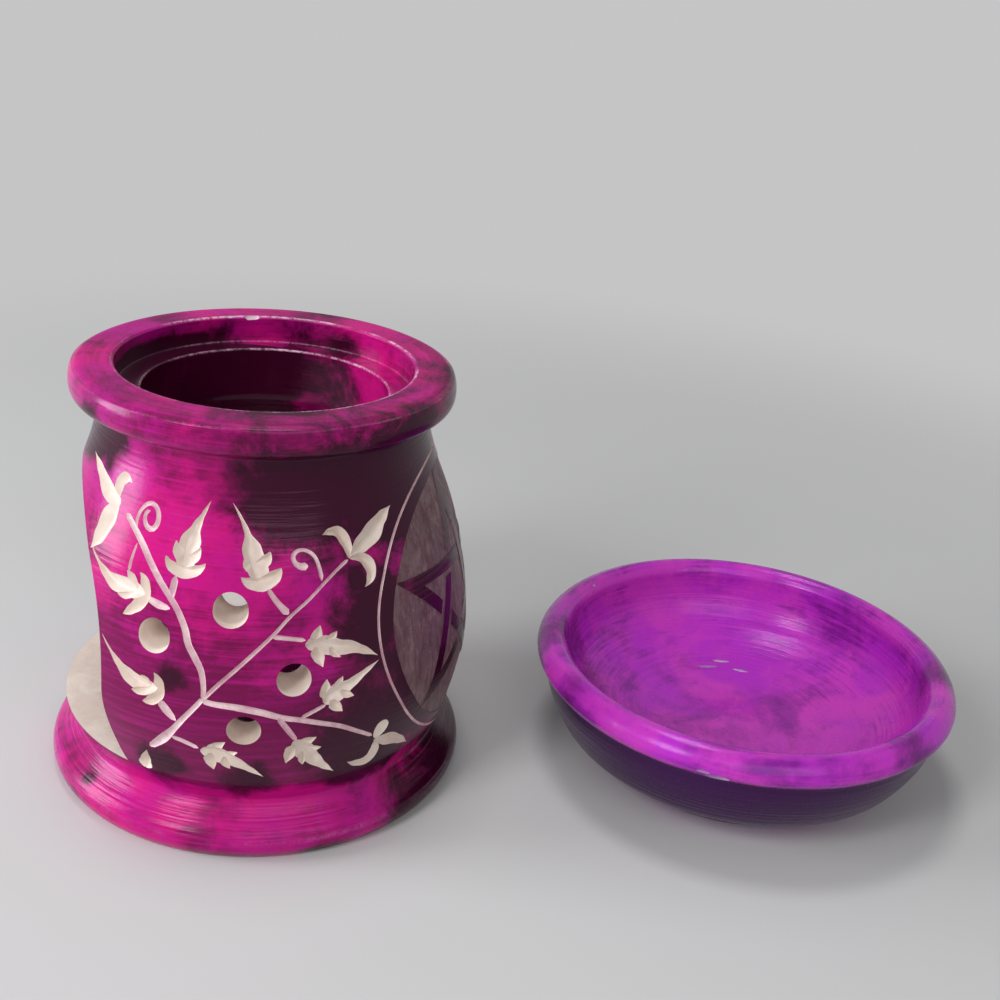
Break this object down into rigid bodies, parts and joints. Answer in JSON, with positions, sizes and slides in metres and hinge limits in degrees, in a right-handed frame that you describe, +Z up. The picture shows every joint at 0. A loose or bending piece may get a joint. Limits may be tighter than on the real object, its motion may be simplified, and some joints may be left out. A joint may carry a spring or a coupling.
{
  "type": "essential oil burner",
  "caption": "Turned soapstone oil burner: hollow barrel body with arched doorway, drilled vents and carved vine and star, loose oil bowl, and tea light.",
  "frame": {"origin": "middle of the body's flat foot, on the surface it stands on", "axes": "+Z up along the turning axis, -X out of the arched doorway, -Y out of the vine panel that the picture shows"},
  "size_m": [0.1888, 0.0945, 0.0844],
  "materials": {
    "soapstone_magenta": "dyed and waxed",
    "soapstone_violet": "dyed and waxed",
    "foil": "pressed",
    "wax": "satin",
    "cotton": "waxed",
    "tinplate": "plain"
  },
  "bodies": {
    "body": {"burner_body": "soapstone_magenta"},
    "bowl": {"oil_bowl": "soapstone_violet"},
    "tealight": {"tealight_cup": "foil", "tealight_wax": "wax", "tealight_wick": "cotton", "wick_sustainer": "tinplate"}
  },
  "joints": [
    {"name": "bowl_lift", "type": "slide", "parent": "body", "child": "bowl", "axis": [0, 0, 1], "range_m": [0, 0.12]},
    {"name": "tealight_slide", "type": "slide", "parent": "body", "child": "tealight", "axis": [-1, 0, 0], "range_m": [0, 0.064]}
  ]
}
